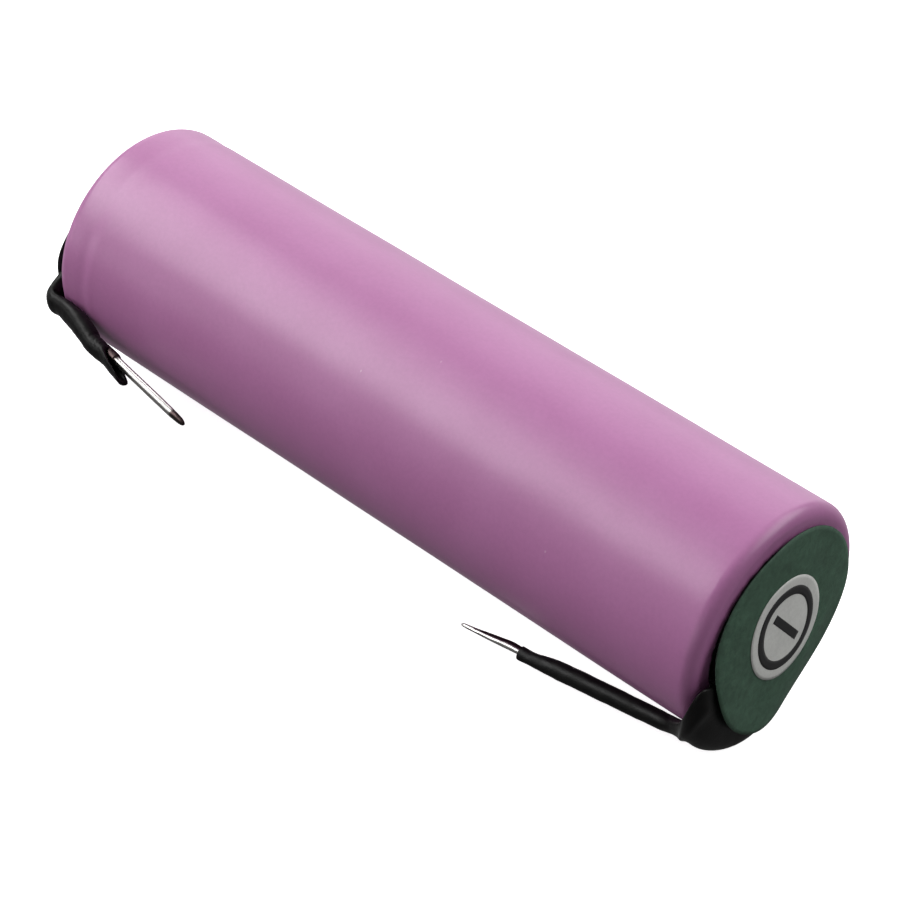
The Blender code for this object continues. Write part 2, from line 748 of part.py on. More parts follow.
cell_axis = new_empty(
    "cell_axis",
    Matrix.Translation((CELL_LENGTH / 2, 0, AXIS_HEIGHT)) @ Matrix.Rotation(math.pi / 2, 4, "Y"),
)
make_sleeve(cell_axis)
make_can(cell_axis)
make_ring_washer(cell_axis)
make_gasket(cell_axis)
make_top_cap(cell_axis)
make_ptc_ring(cell_axis)
make_vent_disc(cell_axis)
make_interrupt_device(cell_axis)
make_insulators(cell_axis)
make_winding(cell_axis)
make_tape_and_centre_pin(cell_axis)
make_tabs(cell_axis)
for cell_end in (NEGATIVE, POSITIVE):
    rim = end_frame(cell_end)
    make_paper_disc(cell_end, rim)
    make_lead_root(cell_end, rim)
    make_lead_leg(cell_end, rim)
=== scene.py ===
"""The looks of a tagged cylindrical battery cell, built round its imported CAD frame."""

import math
from dataclasses import dataclass

import bmesh
import bpy
import numpy as np
from mathutils import Matrix, Vector


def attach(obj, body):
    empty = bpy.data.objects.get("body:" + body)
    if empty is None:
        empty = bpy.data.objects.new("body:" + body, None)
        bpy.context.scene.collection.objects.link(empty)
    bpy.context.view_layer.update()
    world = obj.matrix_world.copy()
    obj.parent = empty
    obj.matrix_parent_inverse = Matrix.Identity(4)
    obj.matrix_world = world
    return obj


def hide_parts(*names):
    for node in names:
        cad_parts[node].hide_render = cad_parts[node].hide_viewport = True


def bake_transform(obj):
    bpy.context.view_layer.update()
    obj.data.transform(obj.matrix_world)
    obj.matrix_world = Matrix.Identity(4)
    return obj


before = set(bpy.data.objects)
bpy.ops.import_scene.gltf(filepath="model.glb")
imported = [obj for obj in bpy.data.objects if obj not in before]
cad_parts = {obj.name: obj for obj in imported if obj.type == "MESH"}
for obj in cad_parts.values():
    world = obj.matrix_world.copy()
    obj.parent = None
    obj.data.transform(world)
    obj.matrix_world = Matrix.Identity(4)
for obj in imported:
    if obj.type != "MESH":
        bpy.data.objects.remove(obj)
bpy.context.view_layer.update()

MM = 0.001
TURN = 2 * math.pi

# The cell: sizes in millimetres, on an axis along X at AXIS_HEIGHT
HALF_LENGTH = 32.6
AXIS_HEIGHT = 9.1496
SLEEVE_RADIUS = 9.2
SLEEVE_WALL = 0.14
CORNER = 1.0
LIP_RADIUS = 6.9
PAPER_RADII = (7.9, 7.76)
PAPER_THICKNESS = 0.15
PAPER_REST = 0.12
STICKER_RADIUS = 3.98
STICKER_THICKNESS = 0.07
INK_THICKNESS = 0.012
HINGE_RADIAL = 9.62
HINGE_OUT = 0.3


# ---------------------------------------------------------------- places


def to_world(points, outward, angle):
    """Points given as (radial, across, out) from an end face's centre, in the cell's own frame in millimetres."""
    out = np.array([outward, 0.0, 0.0])
    radial = np.array([0.0, -math.sin(angle), math.cos(angle)])
    across = np.cross(out, radial)
    centre = np.array([outward * HALF_LENGTH, 0.0, AXIS_HEIGHT])
    points = np.asarray(points, float)
    return centre + points[..., 0:1] * radial + points[..., 1:2] * across + points[..., 2:3] * out


def leg_place(tilt, distance, off_side=0.0):
    """(radial, out) of a point on a lead's leg, at a distance from its hinge and shifted off the cell's side."""
    radial = HINGE_RADIAL + distance * math.sin(tilt) + off_side * math.cos(tilt)
    out = HINGE_OUT - distance * math.cos(tilt) + off_side * math.sin(tilt)
    return radial, out


def smoothstep(x, low, high):
    """0 below `low`, 1 above `high`, and an even curve between them."""
    t = np.clip((x - low) / (high - low), 0, 1)
    return t * t * (3 - 2 * t)


def hump(x, centre, width):
    """A bell curve that is 1 at its centre."""
    return np.exp(-(((x - centre) / width) ** 2))


def waves(u, v, terms):
    """A smooth uneven field: a sum of sines of (amplitude, u rate, v rate, phase)."""
    return sum(amplitude * np.sin(a * u + b * v + phase) for amplitude, a, b, phase in terms)


def squared_circle(sides, squareness):
    """A circle's x and y when squareness is 2, and nearer a square's the larger it is."""
    a = TURN * (np.arange(sides) + 0.5) / sides
    power = 2 / squareness
    x = np.sign(np.cos(a)) * np.abs(np.cos(a)) ** power
    y = np.sign(np.sin(a)) * np.abs(np.sin(a)) ** power
    return a, x, y


# ---------------------------------------------------------------- meshes


def mesh_piece(name, points, faces, look, body="cell"):
    """A smooth-shaded object from points in millimetres, riding on a body if one is given."""
    mesh = bpy.data.meshes.new(name)
    mesh.from_pydata([tuple(p) for p in np.asarray(points, float).reshape(-1, 3) * MM], [], faces)
    mesh.validate()
    mesh.update()
    obj = bpy.data.objects.new(name, mesh)
    bpy.context.scene.collection.objects.link(obj)
    obj.data.materials.append(look)
    make_outward(obj)
    mesh.shade_smooth()
    if body:
        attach(obj, body)
    return obj


def make_outward(obj):
    """Turns every face of a closed mesh outwards."""
    shape = bmesh.new()
    shape.from_mesh(obj.data)
    bmesh.ops.recalc_face_normals(shape, faces=shape.faces)
    shape.to_mesh(obj.data)
    shape.free()


def ring_faces(rings, sides, loop=False):
    """Quads between equal rings of points: either a loop of rings, or a run of them with a cap at each end."""
    faces = []
    last = rings if loop else rings - 1
    for i in range(last):
        low, high = i * sides, ((i + 1) % rings) * sides
        for j in range(sides):
            k = (j + 1) % sides
            faces.append((low + j, low + k, high + k, high + j))
    if not loop:
        faces.append(tuple(reversed(range(sides))))
        faces.append(tuple(range((rings - 1) * sides, rings * sides)))
    return faces


def catmull(stations, steps):
    """A smooth run of values through the stations, as a Catmull-Rom spline."""
    stations = np.array(stations, float)
    padded = np.vstack([2 * stations[0] - stations[1], stations, 2 * stations[-1] - stations[-2]])
    run = []
    for i in range(len(stations) - 1):
        p0, p1, p2, p3 = padded[i : i + 4]
        for k in range(steps):
            t = k / steps
            linear = (p2 - p0) * t
            square = (2 * p0 - 5 * p1 + 4 * p2 - p3) * t * t
            cube = (3 * p1 - p0 - 3 * p2 + p3) * t**3
            run.append(0.5 * (2 * p1 + linear + square + cube))
    run.append(stations[-1])
    return np.array(run)


# ---------------------------------------------------------------- materials

# Where a noise stops being low and begins to be high, for tints and roughness
LOW_STOP = 0.3
HIGH_STOP = 0.7
EVEN = (1, 1, 1)


class Look:
    """A node material under construction: a Principled shader with patterns in the object's own space."""

    def __init__(self, name, colour, roughness, metallic=0.0, ior=1.5):
        self.material = bpy.data.materials.new(name)
        self.material.use_nodes = True
        self.material.diffuse_color = (*colour, 1)
        self.nodes = self.material.node_tree.nodes
        self.links = self.material.node_tree.links
        self.shader = self.nodes["Principled BSDF"]
        self.shader.inputs["Base Color"].default_value = (*colour, 1)
        self.shader.inputs["Roughness"].default_value = roughness
        self.shader.inputs["Metallic"].default_value = metallic
        self.shader.inputs["IOR"].default_value = ior
        self.colour = tuple(colour)
        self.height = None
        self.place = self.nodes.new("ShaderNodeTexCoord").outputs["Object"]

    def stretched(self, scale, turn=(0, 0, 0)):
        """The object's own space, squeezed along its axes and turned."""
        mapping = self.nodes.new("ShaderNodeMapping")
        mapping.inputs["Scale"].default_value = scale
        mapping.inputs["Rotation"].default_value = turn
        self.links.new(self.place, mapping.inputs["Vector"])
        return mapping.outputs["Vector"]

    def noise(self, size, detail=3.0, rough=0.55, scale=EVEN, turn=(0, 0, 0), distortion=0.0):
        """Noise whose features are about `size` millimetres across."""
        node = self.nodes.new("ShaderNodeTexNoise")
        node.inputs["Scale"].default_value = 1 / (size * MM)
        node.inputs["Detail"].default_value = detail
        node.inputs["Roughness"].default_value = rough
        node.inputs["Distortion"].default_value = distortion
        self.links.new(self.stretched(scale, turn), node.inputs["Vector"])
        return node.outputs["Fac"]

    def ramp(self, value, start, end, low, high):
        """A grey that is `low` up to `start`, `high` from `end` on, and even between them."""
        node = self.nodes.new("ShaderNodeValToRGB")
        for element, place, shade in zip(node.color_ramp.elements, (start, end), (low, high)):
            element.position = place
            element.color = (shade, shade, shade, 1)
        self.links.new(value, node.inputs["Fac"])
        return node.outputs["Color"]

    def specks(self, colour, spacing, radii, rarity, strength, scale=EVEN):
        """Scatters dots of a colour, in those cells of a random pattern whose own value is above `rarity`.

        `spacing` is the cells' size in millimetres, and `radii` are where a dot begins to fade and where it ends,
        as shares of it.
        """
        cells = self.nodes.new("ShaderNodeTexVoronoi")
        cells.inputs["Scale"].default_value = 1 / (spacing * MM)
        self.links.new(self.stretched(scale), cells.inputs["Vector"])
        own_value = self.nodes.new("ShaderNodeSeparateColor")
        self.links.new(cells.outputs["Color"], own_value.inputs["Color"])
        near = self.ramp(cells.outputs["Distance"], *radii, 1.0, 0.0)
        chosen = self.ramp(own_value.outputs["Red"], rarity, rarity + 0.01, 0.0, strength)
        both = self.nodes.new("ShaderNodeMath")
        both.operation = "MULTIPLY"
        self.links.new(near, both.inputs[0])
        self.links.new(chosen, both.inputs[1])
        self.paint(colour, both.outputs["Value"])

    def mix(self, factor, second, blend):
        """Mixes the colour so far with a second one; each may be a plain value or a node's output."""
        node = self.nodes.new("ShaderNodeMix")
        node.data_type = "RGBA"
        node.blend_type = blend
        for socket, value in ((node.inputs[0], factor), (node.inputs[6], self.colour), (node.inputs[7], second)):
            if isinstance(value, float):
                socket.default_value = value
            elif isinstance(value, tuple):
                socket.default_value = (*value, 1)
            else:
                self.links.new(value, socket)
        self.colour = node.outputs[2]

    def paint(self, colour, factor):
        """Blends the colour so far towards another, by a 0 to 1 pattern."""
        self.mix(factor, colour, "MIX")

    def mottle(self, colour, value, start, end):
        """Blends the colour so far towards another where a noise rises from `start` to `end`."""
        self.paint(colour, self.ramp(value, start, end, 0.0, 1.0))

    def tint(self, value, low, high):
        """Multiplies the colour by a pattern that runs from low to high."""
        self.mix(1.0, self.ramp(value, LOW_STOP, HIGH_STOP, low, high), "MULTIPLY")

    def rough(self, value, low, high):
        """Lets the roughness follow a noise from low to high."""
        self.links.new(self.ramp(value, LOW_STOP, HIGH_STOP, low, high), self.shader.inputs["Roughness"])

    def bump(self, value, depth):
        """Adds a bump `depth` millimetres deep."""
        node = self.nodes.new("ShaderNodeBump")
        node.inputs["Distance"].default_value = depth * MM
        node.inputs["Strength"].default_value = 1.0
        self.links.new(value, node.inputs["Height"])
        if self.height is not None:
            self.links.new(self.height, node.inputs["Normal"])
        self.height = node.outputs["Normal"]

    def attribute(self, name):
        """A number stored at each point of the mesh."""
        node = self.nodes.new("ShaderNodeAttribute")
        node.attribute_name = name
        return node.outputs["Fac"]

    def done(self):
        """Joins the last colour and bump to the shader and gives back the material."""
        self.links.new(self.colour, self.shader.inputs["Base Color"])
        if self.height is not None:
            self.links.new(self.height, self.shader.inputs["Normal"])
        return self.material


def grainy(name, colour, second, roughness, size, metallic):
    """A two-tone material with fine grain, for the plainer pieces."""
    look = Look(name, colour, roughness, metallic)
    grain = look.noise(size, detail=6.0, rough=0.6)
    patches = look.noise(size * 9)
    look.mottle(second, grain, 0.35, 0.65)
    look.tint(patches, 0.88, 1.08)
    look.rough(patches, roughness * 0.85, min(1.0, roughness * 1.15))
    look.bump(grain, 0.01)
    return look.done()


def sleeve_look():
    """Violet PVC film: soft clouds of colour, a few dark specks, some pale lint, and faint lines along the cell."""
    look = Look("pvc_sleeve", (0.42, 0.158, 0.345), 0.3, ior=1.55)
    cloud = look.noise(7.0, detail=2.0, rough=0.5)
    grain = look.noise(0.35, detail=4.0, rough=0.6)
    drawn = look.noise(0.5, rough=0.5, scale=(0.06, 1, 1))
    look.mottle((0.445, 0.175, 0.37), cloud, 0.3, 0.7)
    look.tint(grain, 0.965, 1.035)
    look.specks((0.12, 0.035, 0.08), 2.6, radii=(0.035, 0.055), rarity=0.955, strength=1.0)
    look.specks((0.62, 0.42, 0.56), 1.7, radii=(0.03, 0.06), rarity=0.93, strength=0.55, scale=(1, 0.55, 0.8))
    scuffs = look.noise(1.8, rough=0.5, scale=(0.3, 1, 1))
    look.rough(scuffs, 0.33, 0.38)
    look.bump(grain, 0.0015)
    look.bump(drawn, 0.002)
    look.bump(cloud, 0.02)
    return look.done()


def fish_paper_look(name, base, pale):
    """Matt vulcanised paper: pulp, two sets of fibres that cross, and uneven dye."""
    look = Look(name, base, 0.72)
    pulp = look.noise(0.55, detail=6.0, rough=0.72, distortion=0.8)
    fibre = {"size": 0.28, "detail": 4.0, "rough": 0.6, "distortion": 1.2}
    fibres = look.noise(**fibre, scale=(1, 0.4, 1), turn=(0.6, 0, 0))
    crossing = look.noise(**fibre, scale=(1, 1, 0.4), turn=(0.3, 0, 0))
    cloud = look.noise(3.2, rough=0.6)
    look.mottle(pale, pulp, 0.32, 0.72)
    look.tint(fibres, 0.9, 1.09)
    look.tint(crossing, 0.91, 1.08)
    look.tint(cloud, 0.84, 1.12)
    look.tint(look.noise(0.9, rough=0.6), 0.88, 1.1)
    look.rough(cloud, 0.66, 0.8)
    look.bump(fibres, 0.012)
    look.bump(pulp, 0.015)
    return look.done()


def sticker_look():
    """Smooth pale paper."""
    look = Look("sticker_paper", (0.63, 0.635, 0.61), 0.5)
    pulp = look.noise(0.25, detail=5.0, rough=0.6)
    cloud = look.noise(2.2, detail=2.0)
    look.mottle((0.70, 0.705, 0.68), pulp, 0.35, 0.7)
    look.tint(cloud, 0.95, 1.05)
    look.rough(cloud, 0.42, 0.55)
    look.bump(pulp, 0.004)
    return look.done()


def ink_look():
    """Black ink, printed a little unevenly."""
    look = Look("printed_ink", (0.015, 0.015, 0.016), 0.45)
    uneven = look.noise(0.16, detail=4.0, rough=0.6)
    look.mottle((0.028, 0.028, 0.029), uneven, 0.4, 0.75)
    look.rough(uneven, 0.4, 0.55)
    look.bump(uneven, 0.002)
    return look.done()


def shrink_look():
    """Black heat-shrink: satin, slightly wrinkled, with a little dust."""
    look = Look("black_heat_shrink", (0.003, 0.0028, 0.0028), 0.42, ior=1.36)
    cloud = look.noise(1.4)
    grain = look.noise(0.12, detail=4.0, rough=0.6)
    wrinkles = look.noise(0.45, detail=4.0, rough=0.6, distortion=1.4)
    look.mottle((0.0062, 0.0056, 0.0055), cloud, 0.4, 0.75)
    look.specks((0.06, 0.052, 0.05), 0.9, radii=(0.04, 0.07), rarity=0.93, strength=0.5)
    look.rough(cloud, 0.34, 0.5)
    look.bump(grain, 0.003)
    look.bump(wrinkles, 0.014)
    look.shader.inputs["Specular IOR Level"].default_value = 0.34
    return look.done()


def tinned_look():
    """Solder on nickel, with flow marks and, by the mesh's own numbers, painted shade and a dark tip."""
    look = Look("tinned_nickel", (0.62, 0.61, 0.59), 0.3, metallic=1.0)
    flow = look.noise(0.5, detail=4.0, rough=0.6, scale=(0.3, 1, 1))
    grain = look.noise(0.08, detail=4.0, rough=0.6)
    look.mottle((0.44, 0.42, 0.4), flow, 0.42, 0.8)
    # Painted shade from the mesh's numbers: the pins' reflections of the dark sleeve and tube, and a dark positive
    # tip
    look.paint((0.06, 0.042, 0.042), look.attribute("painted_shade_and_dark_tip"))
    look.rough(flow, 0.24, 0.38)
    look.bump(flow, 0.02)
    look.bump(grain, 0.003)
    return look.done()


LOOKS = {
    "sleeve": sleeve_look(),
    "green_paper": fish_paper_look("green_fish_paper", (0.038, 0.088, 0.056), (0.064, 0.132, 0.087)),
    "black_paper": fish_paper_look("black_fish_paper", (0.010, 0.010, 0.011), (0.019, 0.018, 0.019)),
    "sticker": sticker_look(),
    "ink": ink_look(),
    "shrink": shrink_look(),
    "tinned": tinned_look(),
}

# Materials of the CAD pieces that stay: their nodes, then name, colour, second colour, roughness, grain size and
# metallic
INNER_LOOKS = (
    (("steel_can",), ("can_steel", (0.56, 0.555, 0.54), (0.48, 0.475, 0.46), 0.28, 0.4, 1.0)),
    (("top_cap", "centre_pin"), ("cap_steel", (0.6, 0.595, 0.58), (0.5, 0.5, 0.49), 0.25, 0.3, 1.0)),
    (
        ("negative_tag_pad", "positive_tag_pad", "negative_tab"),
        ("nickel_strip", (0.66, 0.63, 0.57), (0.56, 0.53, 0.48), 0.3, 0.25, 1.0),
    ),
    (
        ("vent_disc", "interrupt_disc", "positive_tab"),
        ("soft_aluminium", (0.78, 0.79, 0.8), (0.68, 0.69, 0.7), 0.35, 0.3, 1.0),
    ),
    (("crimp_gasket",), ("gasket_plastic", (0.1, 0.16, 0.36), (0.085, 0.135, 0.31), 0.5, 0.3, 0.0)),
    (
        ("interrupt_insulator_ring", "top_insulator", "bottom_insulator"),
        ("insulator_plastic", (0.76, 0.75, 0.7), (0.68, 0.67, 0.62), 0.5, 0.3, 0.0),
    ),
    (("ring_washer",), ("fibre_board", (0.7, 0.68, 0.61), (0.58, 0.56, 0.5), 0.85, 0.35, 0.0)),
    (("ptc_ring",), ("ptc_polymer", (0.06, 0.052, 0.05), (0.045, 0.04, 0.04), 0.65, 0.25, 0.0)),
    (("cathode_sheet",), ("cathode_coating", (0.035, 0.035, 0.04), (0.025, 0.025, 0.028), 0.75, 0.12, 0.1)),
    (("anode_sheet",), ("anode_coating", (0.075, 0.06, 0.052), (0.05, 0.042, 0.04), 0.65, 0.12, 0.2)),
    (
        ("separator_inner", "separator_outer"),
        ("separator_film", (0.82, 0.82, 0.83), (0.75, 0.75, 0.76), 0.45, 0.2, 0.0),
    ),
    (("winding_tape",), ("polyester_tape", (0.12, 0.34, 0.2), (0.1, 0.29, 0.17), 0.3, 0.4, 0.0)),
)
for node_names, settings in INNER_LOOKS:
    material = grainy(*settings)
    for node_name in node_names:
        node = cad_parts[node_name]
        if not node.data.materials:
            node.data.materials.append(None)
        for slot in node.material_slots:
            slot.material = material


# ---------------------------------------------------------------- sleeve

SLEEVE_SIDES = 288
LIP_STEPS = 9
CORNER_STEPS = 13
# The sleeve is finely divided beyond BEAD_ZONE, where the can's bead shows through
BEAD_ZONE = -26.0
PLAIN_STEPS = 90
BEAD_STEPS = 48
# The bead's groove and the rise beside it: depth, place along the cell, width
BEAD = ((-0.07, -29.75, 0.55), (0.028, -28.8, 0.4))
# How far in from the sleeve's full radius the bead and slack fade out, and the puckers begin
SIDE_FADE = 0.7
PUCKER_FADE = 0.8
SLACK_LENGTH = 8
SLACK = ((0.008, 1.1, 2, 0.3), (0.006, 2.3, -3, 1.9), (0.004, 3.7, 5, 4.1), (0.003, 0.6, 7, 2.6))
PUCKERS = ((0.016, 0.8, 23, 0.4), (0.012, -1.1, 37, 2.2), (0.008, 0.5, 53, 1.1), (0.015, 0.2, 9, 3.0))
PUCKER_SINK = 0.035
LIP_EDGE = ((0.06, 0, 5, 0.8), (0.03, 0, 11, 2.5), (0.015, 0, 19, 4.4))


def sleeve_profile():
    """The sleeve's outside as (place along the axis, radius), from the negative lip to the positive lip."""
    side = SLEEVE_RADIUS - CORNER
    straight_end = HALF_LENGTH - CORNER
    start = [(HALF_LENGTH, radius) for radius in np.linspace(LIP_RADIUS, side, LIP_STEPS + 1)[:-1]]
    for a in np.linspace(math.pi / 2, 0, CORNER_STEPS):
        start.append((straight_end + CORNER * math.sin(a), side + CORNER * math.cos(a)))
    end = [(-x, radius) for x, radius in reversed(start)]
    plain = np.linspace(straight_end, BEAD_ZONE, PLAIN_STEPS)[1:]
    beaded = np.linspace(BEAD_ZONE, -straight_end, BEAD_STEPS)[1:-1]
    return np.array(start + [(x, SLEEVE_RADIUS) for x in (*plain, *beaded)] + end)


def fold_share(radius, x):
    """1 on the folded lips, 0 on the cylinder, and between them round the corner."""
    round_corner = np.clip((np.abs(x) - (HALF_LENGTH - CORNER)) / CORNER, 0, 1)
    return np.where(radius < SLEEVE_RADIUS - CORNER + 1e-6, 1.0, round_corner)


def sleeve_points(profile, angles, inset):
    """Points of the sleeve's outer or inner face, with the can's bead, slack and puckers pressed into it."""
    x, radius = profile[:, 0:1], profile[:, 1:2]
    phi = angles[None, :]
    bead = sum(depth * hump(x, place, width) for depth, place, width in BEAD)
    # The bead shows most at the cell's two sides and fades towards its top and bottom
    bead = bead * (0.3 + 0.7 * np.sin(phi) ** 4) * (1 + 0.15 * np.sin(5 * phi + 2.0))
    on_side = smoothstep(radius, SLEEVE_RADIUS - SIDE_FADE, SLEEVE_RADIUS)
    swell = on_side * (bead + waves(x / SLACK_LENGTH, phi, SLACK))
    gather = smoothstep(-radius, -(SLEEVE_RADIUS - PUCKER_FADE), -LIP_RADIUS)
    folded = fold_share(radius, x)
    out = np.abs(x) + gather * (waves(radius, phi, PUCKERS) - PUCKER_SINK) - inset * folded
    r = radius + swell + gather * waves(radius, phi, LIP_EDGE) - inset * (1 - folded)
    return np.stack([np.sign(x) * out + 0 * phi, -r * np.sin(phi), AXIS_HEIGHT + r * np.cos(phi)], -1)


def make_sleeve():
    """The sleeve as one closed film: outside and back along the inside, which is half as finely divided."""
    angles = TURN * np.arange(SLEEVE_SIDES) / SLEEVE_SIDES
    outside = sleeve_profile()
    inside = outside[::-1][::2]
    points = np.concatenate([sleeve_points(outside, angles, 0.0), sleeve_points(inside, angles, SLEEVE_WALL)])
    faces = ring_faces(len(points), SLEEVE_SIDES, loop=True)
    sleeve = mesh_piece("sleeve_film", points, faces, LOOKS["sleeve"])
    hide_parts("shrink_sleeve")


make_sleeve()


# ---------------------------------------------------------------- paper discs, stickers and ink

CRINKLE = ((0.02, 0.7, 0.5, 0.2), (0.014, -0.4, 1.1, 1.7), (0.008, 1.6, -0.9, 3.1))
LEAN_REACH = 5.0
# Where the ridge begins and is full, along it
RIDGE_RISE = (-10.5, -4.0)
# A sheet's bevel, as a share of its thickness and at most so many millimetres
BEVEL_SHARE = 0.3
LARGEST_BEVEL = 0.03
BAND_STEPS = 4


@dataclass
class Face:
    """An end's paper disc: where it lies and how the lead under it lifts it.

    `angle` is the ridge's, round the axis. The lift is `lift` at the centre and grows by `slope` along the ridge,
    the middle leans by `cross_slope`, and `half_widths` and `squareness` shape the ridge across. `paper_at` and
    `sticker_at` are the centres of the disc and of the sticker, as (along, across).
    """

    name: str
    outward: int
    angle: float
    lift: float
    slope: float
    cross_slope: float
    half_widths: tuple
    squareness: float
    paper_at: tuple
    sticker_at: tuple

    def height(self, along, across):
        """How far out the middle of the paper lies at a place."""
        ridge = np.maximum(self.lift + self.slope * along, 0) * smoothstep(along, *RIDGE_RISE)
        reach = np.where(across > 0, self.half_widths[1], self.half_widths[0])
        spread = np.exp(-((np.abs(across) / reach) ** self.squareness))
        lean = self.cross_slope * across * np.exp(-(along**2 + across**2) / LEAN_REACH**2)
        return PAPER_REST + (ridge + waves(along, across, CRINKLE) + lean) * spread

    def sheet(self, name, outline, rings, lift, thickness, look):
        """A sheet that follows the paper, `lift` above it: `outline` is its edge, as (along, across)."""
        outline = np.asarray(outline, float)
        middle = outline.mean(0)
        shares = np.linspace(0, 1, rings + 1)[1:]
        flat = np.concatenate([middle + (outline - middle) * share for share in shares])
        flat = np.vstack([middle, flat])
        sides = len(outline)
        bevel = np.full(len(flat), 0.0)
        bevel[-sides:] = min(LARGEST_BEVEL, thickness * BEVEL_SHARE)
        base = self.height(flat[:, 0], flat[:, 1]) + lift
        top = np.column_stack([flat, base + thickness / 2 - bevel])
        bottom = np.column_stack([flat, base - thickness / 2 + bevel])
        points = to_world(np.vstack([top, bottom]), self.outward, self.angle)
        faces = []
        count = len(flat)
        for j in range(sides):
            k = (j + 1) % sides
            faces.append((0, 1 + j, 1 + k))
            faces.append((count, count + 1 + k, count + 1 + j))
            for ring in range(rings - 1):
                a, b = 1 + ring * sides, 1 + (ring + 1) * sides
                faces.append((a + j, b + j, b + k, a + k))
                faces.append((count + a + j, count + a + k, count + b + k, count + b + j))
            rim = 1 + (rings - 1) * sides
            faces.append((rim + j, count + rim + j, count + rim + k, rim + k))
        return mesh_piece(name, points, faces, look)

    def band(self, name, outer, inner, lift, thickness, look):
        """A closed band between an inner and an outer outline, following the paper."""
        flats = [inner + (outer - inner) * share for share in np.linspace(0, 1, BAND_STEPS)]
        top = [np.column_stack([flat, self.height(*flat.T) + lift + thickness / 2]) for flat in flats]
        bottom = [np.column_stack([flat, self.height(*flat.T) + lift - thickness / 2]) for flat in flats[::-1]]
        points = to_world(np.array(top + bottom), self.outward, self.angle)
        return mesh_piece(name, points, ring_faces(2 * BAND_STEPS, len(outer), loop=True), look)


def oval(centre, radii, sides, wobble=0.0):
    """The outline of a disc, as (along, across), that may be a little longer one way and cut a little unevenly."""
    angles = TURN * np.arange(sides) / sides
    uneven = wobble * (np.sin(3 * angles + 0.5) + 0.6 * np.sin(7 * angles + 2))
    along = centre[0] + (radii[0] + uneven) * np.cos(angles)
    across = centre[1] + (radii[1] + uneven) * np.sin(angles)
    return np.column_stack([along, across])


def straight_sided(corners, per_side, centre, turn):
    """The outline through some corners, as (along, across), turned in its plane."""
    points = []
    for (ax, ay), (bx, by) in zip(corners, corners[1:] + corners[:1]):
        for k in range(per_side):
            t = k / per_side
            points.append((ax + (bx - ax) * t, ay + (by - ay) * t))
    x, y = np.array(points).T
    c, s = math.cos(turn), math.sin(turn)
    return np.column_stack([centre[0] + c * x - s * y, centre[1] + s * x + c * y])


# The printed signs: half length and half width of a stroke, then each sign's corners and points per side
LONG = 1.86
SHORT = 0.33
QUARTERS = ((1, 0), (0, 1), (-1, 0), (0, -1))
PLUS_CORNERS = ((LONG, SHORT), (SHORT, SHORT), (SHORT, LONG))
MINUS = ([(LONG, SHORT), (-LONG, SHORT), (-LONG, -SHORT), (LONG, -SHORT)], 12)
PLUS = ([(c * x - s * y, s * x + c * y) for c, s in QUARTERS for x, y in PLUS_CORNERS], 4)
RING_OUTER = 3.2
RING_INNER = 2.52
PAPER_SIDES = 160
PAPER_RINGS = 26
PAPER_WOBBLE = 0.02
STICKER_SIDES = 128
STICKER_RINGS = 16
STICKER_WOBBLE = 0.01
MARK_RINGS = 6
# Gaps that keep the layers apart
STICKER_GAP = 0.004
INK_GAP = 0.001


def make_face(face, sign, sign_turn, paper_look):
    """An end's paper disc with its sticker and the sign printed in a ring."""
    paper = face.sheet(
        f"{face.name}_fish_paper",
        oval(face.paper_at, PAPER_RADII, PAPER_SIDES, PAPER_WOBBLE),
        rings=PAPER_RINGS,
        lift=0.0,
        thickness=PAPER_THICKNESS,
        look=paper_look,
    )
    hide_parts(f"{face.name}_paper_disc")
    top = PAPER_THICKNESS / 2 + STICKER_THICKNESS / 2 + STICKER_GAP
    sticker = face.sheet(
        f"{face.name}_sticker_face",
        oval(face.sticker_at, (STICKER_RADIUS, STICKER_RADIUS), STICKER_SIDES, STICKER_WOBBLE),
        rings=STICKER_RINGS,
        lift=top,
        thickness=STICKER_THICKNESS,
        look=LOOKS["sticker"],
    )
    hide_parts(f"{face.name}_sticker")
    ink_lift = top + STICKER_THICKNESS / 2 + INK_THICKNESS / 2 + INK_GAP
    face.band(
        f"{face.name}_printed_ring",
        oval(face.sticker_at, (RING_OUTER, RING_OUTER), STICKER_SIDES),
        oval(face.sticker_at, (RING_INNER, RING_INNER), STICKER_SIDES),
        lift=ink_lift,
        thickness=INK_THICKNESS,
        look=LOOKS["ink"],
    )
    outline = straight_sided(*sign, face.sticker_at, sign_turn)
    face.sheet(f"{face.name}_printed_mark", outline, MARK_RINGS, ink_lift, INK_THICKNESS, LOOKS["ink"])


NEGATIVE_FACE = Face(
    name="negative",
    outward=1,
    angle=math.radians(135),
    lift=0.85,
    slope=0.099,
    cross_slope=0.075,
    half_widths=(6.97, 6.9),
    squareness=4.55,
    paper_at=(0.04, 0.38),
    sticker_at=(-0.18, -0.18),
)
POSITIVE_FACE = Face(
    name="positive",
    outward=-1,
    angle=math.radians(104),
    lift=0.75,
    slope=0.07,
    cross_slope=0.0,
    half_widths=(3.9, 5.2),
    squareness=3.5,
    paper_at=(0.0, 0.0),
    sticker_at=(-0.2, 0.1),
)
make_face(NEGATIVE_FACE, MINUS, math.radians(-98), LOOKS["green_paper"])
make_face(POSITIVE_FACE, PLUS, math.radians(12), LOOKS["black_paper"])


# ---------------------------------------------------------------- leads


@dataclass
class Lead:
    """Where a lead lies: its end and body, its angle round the axis and its leg's tilt off the cell's side."""

    outward: int
    angle: float
    tilt: float
    body: str

    def leg(self, distance, off_side=0.0):
        """(radial, out) of a point on the leg."""
        return leg_place(self.tilt, distance, off_side)

    def world(self, points):
        """World places, in millimetres, of points given as (radial, across, out)."""
        return to_world(points, self.outward, self.angle)


@dataclass
class Roll:
    """A raised roll along the side of a web: how high, how far in from its edge, how wide, and the rings it spans."""

    height: float
    inset: float
    width: float
    rise: tuple
    fall: tuple


